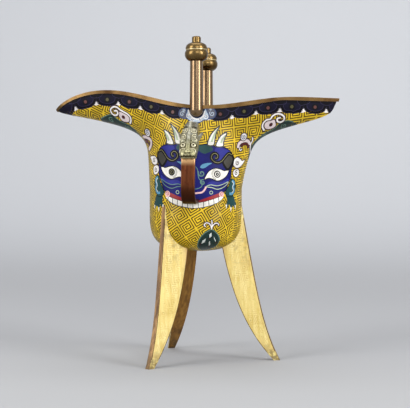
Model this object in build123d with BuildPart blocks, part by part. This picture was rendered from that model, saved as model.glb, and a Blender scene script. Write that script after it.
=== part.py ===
"""A jue: an enamelled three-legged wine cup with a spout, a pointed tail, two posts and a side handle.

Millimetres, +Z up. The cup's axis is the Z axis and the feet stand on Z = 0. The spout points to -X,
the tail to +X and the handle to -Y.
"""

from build123d import *
from math import cos, pi, radians, sin
import os

# Cup: the outer, enamelled surface of the bowl and wall.
cup_radius = 24.0
bowl_bottom_z = 56.5
bowl_shoulder_z = 76.0
bowl_squareness = 3.0
flare_z = 88.0
mouth_half_width = 22.4

# Spout: a round-nosed trough drawn out of the mouth.
spout_reach = 74.4
spout_tip_z = 130.4
spout_half_width = 13.5
spout_swell = 0.08
spout_rise = 7.8
spout_flow = 2.0
spout_nose = 2.0

# Tail: a pointed trough on the other side.
tail_reach = 73.6
tail_tip_z = 135.2
tail_half_width = 15.5
tail_swell = 0.32
tail_rise = 9.0
tail_flow = 16.0
tail_nose = 1.15
tail_point_draw = 2.4

# Both troughs: how much later their sides flare than their keels, and how sharply they leave the mouth.
trough_depth = 12.0
mouth_pinch = 16
swell_curve = 1.3

# Lip: its side view dips beside the posts and crests over the spout.
lip_low_z = 130.7
spout_crest_x = -48.0
spout_crest_z = 139.7
tail_shoulder_x = 42.0
tail_shoulder_z = 135.0
spout_tip_slope = 0.9

# Wall layers.
enamel_thickness = 0.8
metal_thickness = 1.2
rim_height = 1.7
rim_overhang = 0.35

# Legs: three blades with a narrow outer spine and a wide inner face.
leg_apex_z = 80.5
foot_reach = 42.3
leg_kick = 5.7
leg_depth = 13.6
leg_width = 13.5
leg_spine = 2.4
foot_depth = 3.0
foot_width = 4.0
stance_shift = 1.7
leg_kick_curve = 5
leg_depth_curve = 3
leg_width_curve = 2
leg_stations = 10
leg_seats = {"leg_tail": (0, 0), "leg_back": (120, 120), "leg_front": (235, 240)}

# Posts and their turned finials.
post_x = 3.2
post_bottom_z = 124.8
post_bottom_radius = 3.4
post_top_z = 152.5
post_top_radius = 3.2
post_slot_clearance = 0.1
spigot_radius = 1.5
spigot_clearance = 0.1
bulb_radius = 5.85
bulb_widest_z = 156.2
bulb_seat_slope = 0.4
collar_z = 157.9
collar_radius = 5.15
collar_height = 0.8
dome_radius = 5.45
dome_top_z = 162.0
dome_top_slope = 0.3
tip_radius = 2.25
tip_top_z = 165.0
tip_rounding = 0.9

# Handle: a strap bent out from the wall, held at its top by a cast animal head.
handle_x = 1.2
strap_width = 6.8
strap_thickness = 2.4
strap_rounding = 0.6
strap_stand = 39.6
strap_bend = 7.2
strap_top_z = 107.5
strap_knee_z = 90.0
strap_root_z = 82.6
head_width = 9.2
neck_width = 7.4
muzzle_width = 8.4
head_squareness = 0.36
head_top_z = 121.2
neck_low_z = 112.6
head_chin_z = 103.6
head_front = 41.6
muzzle_length = 6.8
crown_length = 4.5
brow_set = 5.4
brow_z = 114.0
throat_rise = 6.3
brow_radius = 2.0
brow_spread = 2.6
eye_set = 2.6
eye_z = 109.4
eye_radius = 1.3
eye_spread = 2.9
nose_radius = 1.9
nostril_radius = 0.55
nostril_spread = 1.0
crest_width = 2.2
crest_height = 1.2
ear_reach = 5.9
ear_length = 4.2
ear_width = 2.2
ear_taper = 0.35
ear_sweep = 4.6
ear_rise = 4.4
mouth_height = 0.6
mouth_depth = 0.6

wall_thickness = enamel_thickness + metal_thickness
form_top_z = spout_crest_z + 2 * rim_height
side_points = 20
flare_steps = 20
bowl_steps = 10
bowl_turn = radians(81)
bowl_spacing = 1.6
wall_steps = 5


def smooth_step(share):
    """An even S-curve from 0 to 1, flat beyond both ends."""
    share = min(max(share, 0), 1)
    return share * share * (3 - 2 * share)


def keel_share(level, tip_z, swell, rise, flow):
    """How far a keel has gone from the cup wall to its tip at one height: a swell, then a sweep."""
    share = min(max((level - flare_z) / (tip_z - flare_z), 0), 1)
    return swell * share**swell_curve + (1 - swell) * (1 - (1 - share**rise) ** flow)


def trough_point(angle, level, core, reach, half_width, nose, keel):
    """A point of a horizontal section: the round cup at the bottom, the drawn-out mouth at the top."""
    across = sin(angle)
    along = abs(cos(angle))
    share = keel_share(level - trough_depth * across**2, *keel)
    mouth_x = reach * max(1 - across**nose, 0) ** 0.5
    mouth_y = across * (half_width + (core - half_width) * across**mouth_pinch)
    x = core * along + share * (mouth_x - core * along)
    y = core * across + share * (mouth_y - core * across)
    return x, y


def side_points_at(level, inset):
    """One side of the cup at a height, from the tail round to the spout."""
    narrowing = smooth_step((level - flare_z) / (lip_low_z - flare_z))
    core = cup_radius + (mouth_half_width - cup_radius) * narrowing - inset
    points = []
    for step in range(side_points + 1):
        angle = pi * step / side_points
        if 2 * step <= side_points:
            reach = tail_reach - tail_point_draw * inset
            keel = (tail_tip_z, tail_swell, tail_rise, tail_flow)
            x, y = trough_point(angle, level, core, reach, tail_half_width - inset, tail_nose, keel)
        else:
            reach = spout_reach - inset
            keel = (spout_tip_z, spout_swell, spout_rise, spout_flow)
            x, y = trough_point(angle, level, core, reach, spout_half_width - inset, spout_nose, keel)
            x = -x
        points.append((x, y if 0 < step < side_points else 0.0))
    return points


def half_circle(radius):
    """One side of a round section, with as many points as the mouth has."""
    angles = [pi * step / side_points for step in range(1, side_points)]
    return [(radius, 0.0), *[(radius * cos(angle), radius * sin(angle)) for angle in angles], (-radius, 0.0)]


def cup_section(z, points):
    """A closed horizontal section from the points of one side and their mirror image."""
    marks = [step / side_points for step in range(side_points + 1)]
    with BuildSketch(Plane.XY.offset(z)) as section:
        with BuildLine():
            add(Edge.make_spline([Vector(x, y) for x, y in points], parameters=marks))
            add(Edge.make_spline([Vector(x, -y) for x, y in reversed(points)], parameters=marks))
        make_face()
    return section.sketch


def cup_form(inset):
    """The solid inside the cup's outer surface, drawn in by an inset and not yet cut at the lip."""
    sections = []
    bowl_depth = bowl_shoulder_z - bowl_bottom_z - inset
    for step in range(bowl_steps):
        turn = bowl_turn * (1 - step / bowl_steps) ** bowl_spacing
        radius = (cup_radius - inset) * cos(turn) ** (2 / bowl_squareness)
        z = bowl_shoulder_z - bowl_depth * sin(turn) ** (2 / bowl_squareness)
        sections.append(cup_section(z, half_circle(radius)))
    for step in range(wall_steps):
        z = bowl_shoulder_z + (flare_z - bowl_shoulder_z) * step / wall_steps
        sections.append(cup_section(z, side_points_at(flare_z, inset)))
    for step in range(flare_steps + 1):
        level = flare_z + (form_top_z - flare_z) * step / flare_steps
        sections.append(cup_section(level + inset, side_points_at(level, inset)))
    with BuildPart() as form:
        loft(sections)
    return form.part


def lip_side_view(drop, height):
    """The side view between the lip's edge, lowered by a drop, and the same edge a height above it."""
    margin = 2 * rim_height + 2 * rim_overhang
    edge_points = [
        (-spout_reach, spout_tip_z),
        (spout_crest_x, spout_crest_z),
        (post_x, lip_low_z),
        (tail_shoulder_x, tail_shoulder_z),
        (tail_reach, tail_tip_z),
    ]
    with BuildSketch(Plane.XZ) as view:
        with BuildLine():
            lower = Spline(
                *[(x, z - drop) for x, z in edge_points],
                tangents=[(1, spout_tip_slope), (1, 0)],
            )
            tail_side = Line(lower @ 1, (tail_reach + margin, (lower @ 1).Y))
            tail_wall = Line(tail_side @ 1, (tail_reach + margin, (lower @ 1).Y + height))
            Line(tail_wall @ 1, (tail_reach, (lower @ 1).Y + height))
            upper = Spline(
                *[(x, z - drop + height) for x, z in reversed(edge_points)],
                tangents=[(-1, 0), (-1, -spout_tip_slope)],
            )
            spout_side = Line(upper @ 1, (-spout_reach - margin, (upper @ 1).Y))
            spout_wall = Line(spout_side @ 1, (-spout_reach - margin, (lower @ 0).Y))
            Line(spout_wall @ 1, lower @ 0)
        make_face()
    return view.sketch


enamel_form = cup_form(0)
metal_form = cup_form(enamel_thickness)
hollow_form = cup_form(wall_thickness)
lip_form = cup_form(-rim_overhang)
slot_outer_form = cup_form(-rim_overhang - post_slot_clearance)
slot_inner_form = cup_form(wall_thickness + post_slot_clearance)
rim_view = lip_side_view(rim_height, rim_height)
above_rim = lip_side_view(rim_height, form_top_z)
above_slot = lip_side_view(-post_slot_clearance, form_top_z)
half_breadth = cup_radius + 2 * rim_height

# Cup body: raised metal, open at the mouth, ending under the rim band.
with BuildPart() as vessel_body:
    add(metal_form)
    add(hollow_form, mode=Mode.SUBTRACT)
    extrude(above_rim, amount=half_breadth, both=True, mode=Mode.SUBTRACT)

# Rim band: caps the metal and the enamel and stands a little proud of both.
with BuildPart() as rim_band:
    add(lip_form)
    add(hollow_form, mode=Mode.SUBTRACT)
    extrude(rim_view, amount=half_breadth, both=True, mode=Mode.INTERSECT)

# Lip envelope: the finished edge with a little room round it, as the posts' slots are cut.
with BuildPart() as lip_envelope:
    add(slot_outer_form)
    add(slot_inner_form, mode=Mode.SUBTRACT)
    extrude(above_slot, amount=half_breadth, both=True, mode=Mode.SUBTRACT)


def leg_blank(seat_angle, foot_angle):
    """A curved blade from the foot to its point beside the bowl, before it is fitted to the bowl."""
    splay = foot_reach - leg_kick - cup_radius
    sections = []
    for station in range(leg_stations + 1):
        share = station / leg_stations
        z = leg_apex_z * (1 - share)
        turn = radians(seat_angle + (foot_angle - seat_angle) * share)
        outer = cup_radius + splay * share + leg_kick * share**leg_kick_curve
        depth = foot_depth + (leg_depth - foot_depth) * (1 - share**leg_depth_curve)
        width = foot_width + (leg_width - foot_width) * (1 - share**leg_width_curve)
        plane = Plane(origin=(stance_shift * share, 0, z), x_dir=(cos(turn), sin(turn), 0), z_dir=(0, 0, 1))
        with BuildSketch(plane) as section:
            with BuildLine():
                Polyline(
                    (outer, -leg_spine / 2),
                    (outer, leg_spine / 2),
                    (outer - depth, width / 2),
                    (outer - depth, -width / 2),
                    close=True,
                )
            make_face()
        sections.append(section.sketch)
    with BuildPart() as blank:
        loft(sections)
    return blank.part


# Legs: each blade passes through the enamel and seats on the metal of the bowl.
leg_blanks = {name: leg_blank(*angles) for name, angles in leg_seats.items()}
legs = {}
for name, blank in leg_blanks.items():
    with BuildPart() as leg:
        add(blank)
        add(metal_form, mode=Mode.SUBTRACT)
    legs[name] = leg.part

# Handle strap: one bent bar, brazed to the wall at its root.
wall_inside = -cup_radius + wall_thickness
with BuildPart() as handle_strap:
    with BuildSketch(Plane.YZ.offset(handle_x)):
        with BuildLine() as strap_path:
            run = Line((-strap_stand + strap_thickness, strap_top_z), (-strap_stand, strap_knee_z))
            bend = TangentArc(run @ 1, (-strap_stand + strap_bend, strap_root_z), tangent=run % 1)
            Line(bend @ 1, (wall_inside, strap_root_z))
        trace(strap_path.line, line_width=strap_thickness)
    extrude(amount=strap_width / 2, both=True)
    fillet(handle_strap.edges().filter_by(Axis.X, reverse=True), radius=strap_rounding)
    add(metal_form, mode=Mode.SUBTRACT)

# Handle head: a cast animal head, lofted from the wall over the brow to the muzzle that bites the strap.
muzzle_back = -head_front + muzzle_length
muzzle_y = -head_front + muzzle_length / 2
muzzle_z = head_chin_z + throat_rise / 3
brow_y = -head_front + brow_set
eye_y = -head_front + eye_set
head_stations = [
    ((wall_inside, head_top_z), (wall_inside, neck_low_z), neck_width),
    ((-cup_radius - crown_length, head_top_z), (-cup_radius - crown_length / 2, neck_low_z), neck_width),
    ((brow_y, brow_z), (muzzle_back + crown_length, head_chin_z + throat_rise), head_width),
    ((eye_y, eye_z), (muzzle_back + crown_length / 4, head_chin_z + throat_rise / 2), head_width),
    ((-head_front, muzzle_z), (muzzle_back, head_chin_z + throat_rise / 5), muzzle_width),
    ((-head_front + mouth_depth, head_chin_z), (muzzle_back, head_chin_z), muzzle_width - mouth_depth),
]


def head_section(front, back, width, proud=0.0):
    """A rounded square section of the head between a point of its face and one of its throat."""
    across = Vector(0, front[0] - back[0], front[1] - back[1])
    depth = across.length + proud
    middle = Vector(handle_x, back[0], back[1]) + across.normalized() * (depth / 2)
    plane = Plane(origin=middle, x_dir=(1, 0, 0), z_dir=(0, -across.Z, across.Y))
    with BuildSketch(plane) as section:
        RectangleRounded(width, depth, head_squareness * min(width, depth))
    return section.sketch


with BuildPart() as handle_head:
    loft([head_section(*station) for station in head_stations])
    crest_heights = (crest_height, crest_height, crest_height, 0.0)
    crest = zip(head_stations[1:5], crest_heights)
    loft([head_section(front, back, crest_width, proud) for (front, back, _), proud in crest])
    with Locations((handle_x, -head_front + nose_radius, muzzle_z + nose_radius / 2)):
        Sphere(nose_radius)
    for side in (-1, 1):
        with Locations((handle_x + side * brow_spread, brow_y + brow_radius / 3, brow_z - brow_radius)):
            Sphere(brow_radius)
        with Locations((handle_x + side * eye_spread, eye_y + eye_radius, eye_z)):
            Sphere(eye_radius)
        root = Vector(handle_x + side * head_width / 3, brow_y + brow_set / 2, brow_z - ear_length / 2)
        tip = Vector(handle_x + side * ear_reach, root.Y + ear_sweep, root.Z + ear_rise)
        with BuildSketch(Plane(origin=root, x_dir=(0, -ear_rise, ear_sweep), z_dir=tip - root)):
            Ellipse(ear_length / 2, ear_width / 2)
        with BuildSketch(Plane(origin=tip, x_dir=(0, -ear_rise, ear_sweep), z_dir=tip - root)):
            Ellipse(ear_taper * ear_length / 2, ear_taper * ear_width / 2)
        loft()
        nostril_y = -head_front + nostril_radius / 2
        with Locations((handle_x + side * nostril_spread, nostril_y, muzzle_z + nose_radius / 4)):
            Sphere(nostril_radius, mode=Mode.SUBTRACT)
    with BuildSketch(Plane.XY.offset(head_chin_z + mouth_height)):
        with Locations((handle_x, muzzle_y - muzzle_length / 4)):
            Rectangle(2 * head_width, muzzle_length)
        with Locations((handle_x, muzzle_y)):
            Rectangle(muzzle_width - 2 * mouth_depth, muzzle_length - 2 * mouth_depth, mode=Mode.SUBTRACT)
    extrude(amount=mouth_height, mode=Mode.SUBTRACT)
    add(metal_form, mode=Mode.SUBTRACT)
    add(handle_strap.part, mode=Mode.SUBTRACT)

# Enamel coat: a fired layer, left open where legs and handle meet the metal.
with BuildPart() as enamel_coat:
    add(enamel_form)
    add(metal_form, mode=Mode.SUBTRACT)
    extrude(above_rim, amount=half_breadth, both=True, mode=Mode.SUBTRACT)
    for blank in leg_blanks.values():
        add(blank, mode=Mode.SUBTRACT)
    add(handle_strap.part, mode=Mode.SUBTRACT)
    add(handle_head.part, mode=Mode.SUBTRACT)


# Posts: each is slotted over the lip and carries four turned pieces on its spigot.
spigot_bore = spigot_radius + spigot_clearance
spigot_top_z = (dome_top_z + tip_top_z) / 2
collar_top_z = collar_z + collar_height
posts = {}
for place, side in {"near": -1, "far": 1}.items():
    axis = Axis((post_x, side * mouth_half_width, 0), (0, 0, 1))
    half_view = Plane(origin=axis.position, x_dir=(1, 0, 0), z_dir=(0, -1, 0))

    with BuildPart() as post:
        with BuildSketch(half_view):
            with BuildLine():
                nose = CenterArc((0, post_bottom_z + post_bottom_radius), post_bottom_radius, -90, 90)
                shaft = Line(nose @ 1, (post_top_radius, post_top_z))
                shoulder = Line(shaft @ 1, (spigot_radius, post_top_z))
                spigot = Line(shoulder @ 1, (spigot_radius, spigot_top_z))
                end = Line(spigot @ 1, (0, spigot_top_z))
                Line(end @ 1, nose @ 0)
            make_face()
        revolve(axis=axis)
        add(lip_envelope.part, mode=Mode.SUBTRACT)

    with BuildPart() as bulb:
        with BuildSketch(half_view):
            with BuildLine():
                seat = Line((spigot_bore, post_top_z), (post_top_radius, post_top_z))
                widest = (bulb_radius, bulb_widest_z)
                belly = Spline(seat @ 1, widest, tangents=[(1, bulb_seat_slope), (0, 1)])
                crown = Spline(belly @ 1, (collar_radius, collar_z), tangents=[(0, 1), (-1, 1)])
                top = Line(crown @ 1, (spigot_bore, collar_z))
                Line(top @ 1, seat @ 0)
            make_face()
        revolve(axis=axis)

    with BuildPart() as collar:
        with BuildSketch(half_view):
            with BuildLine():
                under = Line((spigot_bore, collar_z), (collar_radius, collar_z))
                bead = ThreePointArc(
                    under @ 1,
                    (collar_radius + collar_height / 4, collar_z + collar_height / 2),
                    (collar_radius, collar_top_z),
                )
                top = Line(bead @ 1, (spigot_bore, collar_top_z))
                Line(top @ 1, under @ 0)
            make_face()
        revolve(axis=axis)

    with BuildPart() as dome:
        with BuildSketch(half_view):
            with BuildLine():
                under = Line((spigot_bore, collar_top_z), (dome_radius, collar_top_z))
                curve = Spline(under @ 1, (tip_radius, dome_top_z), tangents=[(0, 1), (-1, dome_top_slope)])
                top = Line(curve @ 1, (spigot_bore, dome_top_z))
                Line(top @ 1, under @ 0)
            make_face()
        revolve(axis=axis)

    with BuildPart() as tip:
        with BuildSketch(Plane.XY.offset(dome_top_z)):
            with Locations((post_x, side * mouth_half_width)):
                Circle(tip_radius)
        extrude(amount=tip_top_z - dome_top_z)
        fillet(tip.edges().sort_by(Axis.Z)[-1], radius=tip_rounding)
        with BuildSketch(Plane.XY.offset(dome_top_z)):
            with Locations((post_x, side * mouth_half_width)):
                Circle(spigot_bore)
        extrude(amount=spigot_top_z + spigot_clearance - dome_top_z, mode=Mode.SUBTRACT)

    posts[f"post_{place}"] = post.part
    posts[f"finial_bulb_{place}"] = bulb.part
    posts[f"finial_collar_{place}"] = collar.part
    posts[f"finial_dome_{place}"] = dome.part
    posts[f"finial_tip_{place}"] = tip.part

os.makedirs("parts", exist_ok=True)
pieces = {
    "vessel_body": vessel_body.part,
    "enamel_coat": enamel_coat.part,
    "rim_band": rim_band.part,
    "handle_strap": handle_strap.part,
    "handle_head": handle_head.part,
    **legs,
    **posts,
}
for name, piece in pieces.items():
    piece.label = name
    export_step(piece, f"parts/{name}.step")
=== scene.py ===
"""A jue in enamelled bronze: a three-legged wine cup with a spout, a pointed tail, two posts and a handle.

Metres in the scene. The ornament is drawn in millimetres on the unrolled cup and laid on its surface.
"""

import bpy
import numpy as np
from math import ceil, cos, hypot, pi, radians, sin
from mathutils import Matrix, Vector, geometry


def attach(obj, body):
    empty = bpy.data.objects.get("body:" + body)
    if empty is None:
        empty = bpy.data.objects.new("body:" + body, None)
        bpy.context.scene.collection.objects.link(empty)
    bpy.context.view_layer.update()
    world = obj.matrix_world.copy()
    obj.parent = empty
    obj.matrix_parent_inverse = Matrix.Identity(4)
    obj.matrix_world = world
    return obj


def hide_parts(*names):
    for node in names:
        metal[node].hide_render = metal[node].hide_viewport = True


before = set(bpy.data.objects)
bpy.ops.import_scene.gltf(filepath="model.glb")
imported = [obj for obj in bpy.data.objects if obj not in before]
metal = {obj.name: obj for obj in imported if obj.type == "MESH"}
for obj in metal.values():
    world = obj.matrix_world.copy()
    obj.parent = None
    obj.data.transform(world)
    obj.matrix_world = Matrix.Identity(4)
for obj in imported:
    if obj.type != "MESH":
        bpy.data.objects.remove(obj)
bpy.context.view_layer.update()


# Cup body: a thin shell of raised copper, gilded inside, where wine and polishing have dulled it in patches.
# The enamel hides its outside, so only the hollow shows, between the posts and along both troughs.


class Tint:
    """A value or colour that varies over a surface: a shader socket that takes Python's operators."""

    def __init__(self, finish, socket):
        self.finish = finish
        self.socket = socket

    def math(self, operation, left, right):
        return self.finish.node("Math", {"operation": operation}, {0: left, 1: right})

    def __add__(self, other):
        return self.math("ADD", self, other)

    def __radd__(self, other):
        return self.math("ADD", other, self)

    def __sub__(self, other):
        return self.math("SUBTRACT", self, other)

    def __rsub__(self, other):
        return self.math("SUBTRACT", other, self)

    def __mul__(self, other):
        return self.math("MULTIPLY", self, other)

    def __rmul__(self, other):
        return self.math("MULTIPLY", other, self)

    def between(self, low, high):
        """0 below the low value, 1 above the high one and a smooth step between them."""
        settings = {"interpolation_type": "SMOOTHSTEP"}
        return self.finish.node("MapRange", settings, {"Value": self, "From Min": low, "From Max": high})

    def mix(self, low, high):
        """The low colour where this value is 0 and the high one where it is 1."""
        return self.finish.node("Mix", {"data_type": "RGBA"}, {0: self, 6: low, 7: high}, 2)


class Finish:
    """One material. Its nodes are made and joined here, and its surface is set socket by socket."""

    def __init__(self, name):
        self.material = bpy.data.materials.new(name)
        self.material.use_nodes = True
        self.nodes = self.material.node_tree.nodes
        self.links = self.material.node_tree.links
        self.place = self.node("TexCoord", {}, {}, "Object")

    def node(self, kind, settings, sockets, output=0):
        made = self.nodes.new("ShaderNode" + kind)
        for name, value in settings.items():
            setattr(made, name, value)
        self.join(made, sockets)
        return Tint(self, made.outputs[output])

    def join(self, made, sockets):
        for name, value in sockets.items():
            if isinstance(value, Tint):
                self.links.new(value.socket, made.inputs[name])
            else:
                made.inputs[name].default_value = value

    def surface(self, sockets):
        self.join(self.nodes["Principled BSDF"], sockets)

    def noise(self, scale, detail, stretch=(1, 1, 1)):
        """Cloudy noise from 0 to 1 with a number of blots to the metre, stretched along an axis."""
        place = self.node("Mapping", {}, {"Vector": self.place, "Scale": stretch})
        sockets = {"Vector": place, "Scale": scale, "Detail": detail, "Roughness": 0.6}
        return self.node("TexNoise", {}, sockets)

    def along(self, axis):
        """How far a point lies along an axis, in metres."""
        return self.node("SeparateXYZ", {}, {0: self.place}, axis)

    def bump(self, height, depth):
        return self.node("Bump", {}, {"Height": height, "Distance": depth, "Strength": 1.0})


def colour(red, green, blue):
    """A colour as it is seen on a screen, 0 to 255, turned into light."""
    shares = [level / 255 for level in (red, green, blue)]
    return (*[s / 12.92 if s <= 0.04045 else ((s + 0.055) / 1.055) ** 2.4 for s in shares], 1.0)


def shade(tone, factor):
    """The same colour, lighter or darker."""
    return (*[min(part * factor, 1.0) for part in tone[:3]], 1.0)


def worn_metal(name, bright, worn, wear, polish, brush=(1, 1, 1), relief=0.00004):
    """Gilding or bronze: bright metal rubbed through to a darker one in patches, scratched and pitted."""
    finish = Finish(name)
    bright = colour(*bright)
    worn = colour(*worn)
    blend = 0.16
    patches = finish.noise(70, 6).between(wear - blend, wear + blend)
    fine = finish.noise(900, 3, brush)
    pits = finish.noise(2600, 2).between(0.66, 0.74)
    tone = fine.mix(shade(bright, 0.86), shade(bright, 1.1))
    tone = patches.mix(worn, tone)
    tone = pits.mix(tone, shade(worn, 0.5))
    rough = polish + 0.14 * (1 - patches) + 0.1 * fine
    normal = finish.bump(fine * 0.6 + patches * 0.4 - pits, relief)
    finish.surface({"Base Color": tone, "Metallic": 1.0, "Roughness": rough, "Normal": normal})
    return finish


def dress(node, finish):
    """Gives a metal piece its finish."""
    metal[node].data.materials.clear()
    metal[node].data.materials.append(finish.material)


dress("vessel_body", worn_metal("gilt_inside", (190, 148, 78), (120, 84, 40), 0.45, 0.34))

# Enamel ground: opaque yellow enamel fired on the copper, ground flush and polished.
# The surface is worked out from the cup's own shape: a round bowl and wall that flare into two troughs.

bowl_radius = 24.0
bowl_foot_z = 56.5
bowl_shoulder_z = 76.0
bowl_squareness = 3.0
flare_z = 88.0
lip_low_z = 130.7
mouth_half_width = 22.4
trough_delay = 12.0
mouth_pinch = 16
swell_curve = 1.3
rim_height = 1.7
seat_lift = 0.05
metre = 1000
tail_trough = {
    "reach": 73.6, "tip": 135.2, "half": 15.5, "swell": 0.32, "rise": 9.0, "flow": 16.0, "nose": 1.15,
}
spout_trough = {
    "reach": 74.4, "tip": 130.4, "half": 13.5, "swell": 0.08, "rise": 7.8, "flow": 2.0, "nose": 2.0,
}


def wall_point(turn, z):
    """A point of the wall on the handle's side. The turn is 0 at the tail's keel and pi at the spout's."""
    across = np.sin(turn)
    along = np.abs(np.cos(turn))
    rise = np.clip((z - flare_z) / (lip_low_z - flare_z), 0, 1)
    core = bowl_radius + (mouth_half_width - bowl_radius) * rise * rise * (3 - 2 * rise)
    ends = []
    for trough in (tail_trough, spout_trough):
        share = np.clip((z - trough_delay * across**2 - flare_z) / (trough["tip"] - flare_z), 0, 1)
        sweep = 1 - (1 - share ** trough["rise"]) ** trough["flow"]
        share = trough["swell"] * share**swell_curve + (1 - trough["swell"]) * sweep
        mouth_x = trough["reach"] * np.sqrt(np.maximum(1 - across ** trough["nose"], 0))
        mouth_y = across * (trough["half"] + (core - trough["half"]) * across**mouth_pinch)
        round_x = core * along
        round_y = core * across
        ends.append((round_x + share * (mouth_x - round_x), round_y + share * (mouth_y - round_y)))
    to_spout = turn > pi / 2
    x = np.where(to_spout, -ends[1][0], ends[0][0])
    y = np.where(to_spout, ends[1][1], ends[0][1])
    return np.stack([x, -y, z + 0 * x], -1)


# The bowl's meridian, measured downwards from the shoulder, so that heights below it are true lengths.
meridian_turn = np.linspace(0, radians(81), 200)
meridian_radius = np.append(bowl_radius * np.cos(meridian_turn) ** (2 / bowl_squareness), 0.0)
bowl_height = bowl_shoulder_z - bowl_foot_z
meridian_z = bowl_shoulder_z - bowl_height * np.sin(meridian_turn) ** (2 / bowl_squareness)
meridian_z = np.append(meridian_z, meridian_z[-1])
meridian_steps = np.hypot(np.diff(meridian_radius), np.diff(meridian_z))
meridian_height = bowl_shoulder_z - np.append(0, np.cumsum(meridian_steps))
pole_height = meridian_height[-1]


def skin_point(turn, height):
    """A point of the whole cup by turn and unrolled height."""
    radius = np.interp(height, meridian_height[::-1], meridian_radius[::-1])
    low_z = np.interp(height, meridian_height[::-1], meridian_z[::-1])
    bowl = np.stack([radius * np.cos(turn), -radius * np.sin(turn), low_z], -1)
    wall = wall_point(turn, np.maximum(height, bowl_shoulder_z))
    return np.where((height < bowl_shoulder_z)[..., None], bowl, wall)


# Lengths along each level from the front, towards the tail and, below zero, towards the spout.
level_step = 0.5
level_top_z = 141.0
quarter_turns = 360
wall_levels = np.arange(bowl_shoulder_z, level_top_z, level_step)
wall_turns = np.linspace(0, pi, 2 * quarter_turns + 1)
wall_grid = wall_point(wall_turns[None, :], wall_levels[:, None])
wall_lengths = np.linalg.norm(np.diff(wall_grid, axis=1), axis=2).cumsum(1)
wall_lengths = np.pad(wall_lengths, ((0, 0), (1, 0)))
wall_lengths = wall_lengths[:, [quarter_turns]] - wall_lengths


def turn_at(length, height):
    """The turn of each point that lies a length from the front at an unrolled height."""
    level = np.clip((height - bowl_shoulder_z) / level_step, 0, len(wall_levels) - 1.001)
    row = level.astype(int)
    turns = []
    for k in range(len(length)):
        low = np.interp(-length[k], -wall_lengths[row[k]], wall_turns)
        high = np.interp(-length[k], -wall_lengths[row[k] + 1], wall_turns)
        turns.append(low + (high - low) * (level[k] - row[k]))
    return np.array(turns)


pole_gap = 0.05
keel_turn = 0.002
turn_probe = 1e-4
height_probe = 1e-3


def lay_on_cup(drawn, lift, side):
    """Places points of the unrolled cup just above its skin, on the handle's side (-1) or the far one (1)."""
    drawn = np.asarray(drawn, float)
    height = np.maximum(drawn[:, 1], pole_height + pole_gap)
    turn = np.clip(turn_at(drawn[:, 0], height), keel_turn, pi - keel_turn)
    here = skin_point(turn, height)
    along = skin_point(turn + turn_probe, height) - skin_point(turn - turn_probe, height)
    up = skin_point(turn, height + height_probe) - skin_point(turn, height - height_probe)
    out = np.cross(up, along)
    out /= np.maximum(np.linalg.norm(out, axis=1, keepdims=True), 1e-12)
    here = here + out * (seat_lift + np.asarray(lift, float).reshape(-1, 1))
    return here * np.array([1, -side, 1]) / metre


# The lip's edge as the rim band has it: its top edge depends on x alone.
rim_points = np.array([vertex.co for vertex in metal["rim_band"].data.vertices]) * metre
lip_window = 1.2
lip_samples = 150
lip_start_z = 132.0
lip_rounds = 60
lip_pull = 0.3
lip_x = np.linspace(rim_points[:, 0].min(), rim_points[:, 0].max(), lip_samples)
lip_z = np.array([rim_points[np.abs(rim_points[:, 0] - x) < lip_window][:, 2].max() for x in lip_x])


def lip_height(turn):
    """The height at which the wall meets the lip."""
    z = np.full_like(turn, lip_start_z)
    for _ in range(lip_rounds):
        z = z + lip_pull * (np.interp(wall_point(turn, z)[:, 0], lip_x, lip_z) - z)
    return z


ring_stride = 4
ring_turns = np.linspace(0, pi, 2 * quarter_turns // ring_stride + 1)
ring_lips = lip_height(ring_turns)
ring_lengths = wall_lengths[:, ::ring_stride].T
lip_lengths = np.array([np.interp(z, wall_levels, row) for z, row in zip(ring_lips, ring_lengths)])


def lip_at(length):
    """The lip's height over a length from the front."""
    return np.interp(-length, -lip_lengths, ring_lips)


def enamel(name, tone, gloss=0.24, shine=0.24):
    """Fired enamel: polished, a little cloudy within its colour, with fine dark pits."""
    finish = Finish(name)
    tone = colour(*tone)
    cloud = finish.noise(130, 5)
    speck = finish.noise(1500, 2)
    pits = finish.noise(2300, 2).between(0.68, 0.75)
    body = cloud.between(0.3, 0.7).mix(shade(tone, 0.78), shade(tone, 1.16))
    body = speck.between(0.55, 0.75).mix(body, shade(tone, 0.86))
    body = pits.mix(body, shade(tone, 0.35))
    normal = finish.bump(cloud * 0.5 - pits, 0.00003)
    rough = gloss + 0.12 * speck
    finish.surface({"Base Color": body, "Roughness": rough, "Normal": normal, "Specular IOR Level": shine})
    return finish


def put(name, data):
    """A new object in the scene."""
    made = bpy.data.objects.new(name, data)
    bpy.context.scene.collection.objects.link(made)
    return made


def piece(name, points, faces, finish):
    """A new smooth piece that belongs to the vessel."""
    mesh = bpy.data.meshes.new(name)
    mesh.from_pydata([tuple(point) for point in points], [], faces)
    mesh.shade_smooth()
    mesh.materials.append(finish.material)
    made = put(name, mesh)
    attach(made, "root")
    return made


ground_rows = 120
ground_points = []
ground_faces = []
for side in (-1, 1):
    first = len(ground_points)
    for turn, lip in zip(ring_turns, ring_lips):
        heights = np.linspace(pole_height, lip - rim_height / 2, ground_rows + 1)
        column = skin_point(np.full_like(heights, turn), heights) * np.array([1, -side, 1]) / metre
        ground_points.extend(column)
    for k in range(len(ring_turns) - 1):
        for row in range(ground_rows):
            corner = first + k * (ground_rows + 1) + row
            quad = (corner, corner + 1, corner + ground_rows + 2, corner + ground_rows + 1)
            ground_faces.append(quad if side < 0 else quad[::-1])
yellow = enamel("yellow_enamel", (226, 190, 40))
ground = piece("enamel_ground", ground_points, ground_faces, yellow)
weld = ground.modifiers.new("seam", "WELD")
weld.merge_threshold = 0.00001
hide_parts("enamel_coat")

# Fret ground: square spirals of flat bronze wire, soldered on edge and ground level with the enamel.
# They run in tilted rows, each spiral turning against its neighbours.

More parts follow.
